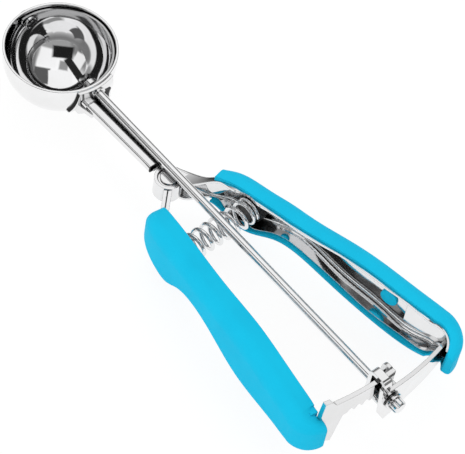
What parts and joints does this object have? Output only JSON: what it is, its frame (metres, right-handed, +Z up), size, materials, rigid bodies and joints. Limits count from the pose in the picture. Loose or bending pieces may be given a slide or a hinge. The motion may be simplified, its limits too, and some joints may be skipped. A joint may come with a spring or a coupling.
{
  "type": "lever ice cream scoop",
  "caption": "Small hemispherical scoop with a squeeze lever that turns a scraper through the bowl by a curved rack, a pinion and a long rod.",
  "frame": {"origin": "centre of the bowl's rim circle", "axes": "+X along the drive rod from the bowl to the handles, +Y to the fixed handle, +Z up out of the bowl's mouth"},
  "size_m": [0.2021, 0.0715, 0.0356],
  "materials": {
    "bowl_steel": "mirror polished stainless steel",
    "frame_steel": "polished stainless sheet",
    "lever_steel": "polished stainless sheet",
    "rod_steel": "polished stainless rod",
    "rack_steel": "polished stainless plate",
    "pin_steel": "polished stainless pins and collars",
    "spring_steel": "bright spring wire",
    "seat_plastic": "dark moulded cup",
    "grip_rubber": "soft-touch cyan moulding"
  },
  "bodies": {
    "frame": {"bowl": "bowl_steel", "frame": "frame_steel", "frame_grip": "grip_rubber", "guide_arm": "frame_steel", "pivot_pin": "pin_steel", "rod_bushing": "pin_steel", "far_pin": "pin_steel", "spring_seat_fixed": "seat_plastic", "spring": "spring_steel"},
    "lever": {"lever": "lever_steel", "lever_grip": "grip_rubber", "rack": "rack_steel", "pivot_bushing": "pin_steel", "spring_seat_lever": "seat_plastic"},
    "drive": {"drive_rod": "rod_steel", "pinion": "pin_steel", "pinion_retainer": "pin_steel", "scraper_blade": "rod_steel", "scraper_hub": "pin_steel"}
  },
  "joints": [
    {"name": "lever_pivot", "type": "hinge", "parent": "frame", "child": "lever", "pos_m": [0.0634, -0.0018, -0.0105], "axis": [0, 0, 1], "range_deg": [0, 6.6], "stiffness_Nm_per_rad": 8, "springref_deg": -5.73, "deforming": ["spring"]},
    {"name": "drive_spin", "type": "hinge", "parent": "frame", "child": "drive", "pos_m": [0.1, 0, -0.0036], "axis": [1, 0, 0], "range_deg": [-180, 0]}
  ],
  "couplings": [
    {"joint": "drive_spin", "follows": "lever_pivot", "ratio": -27.25}
  ]
}
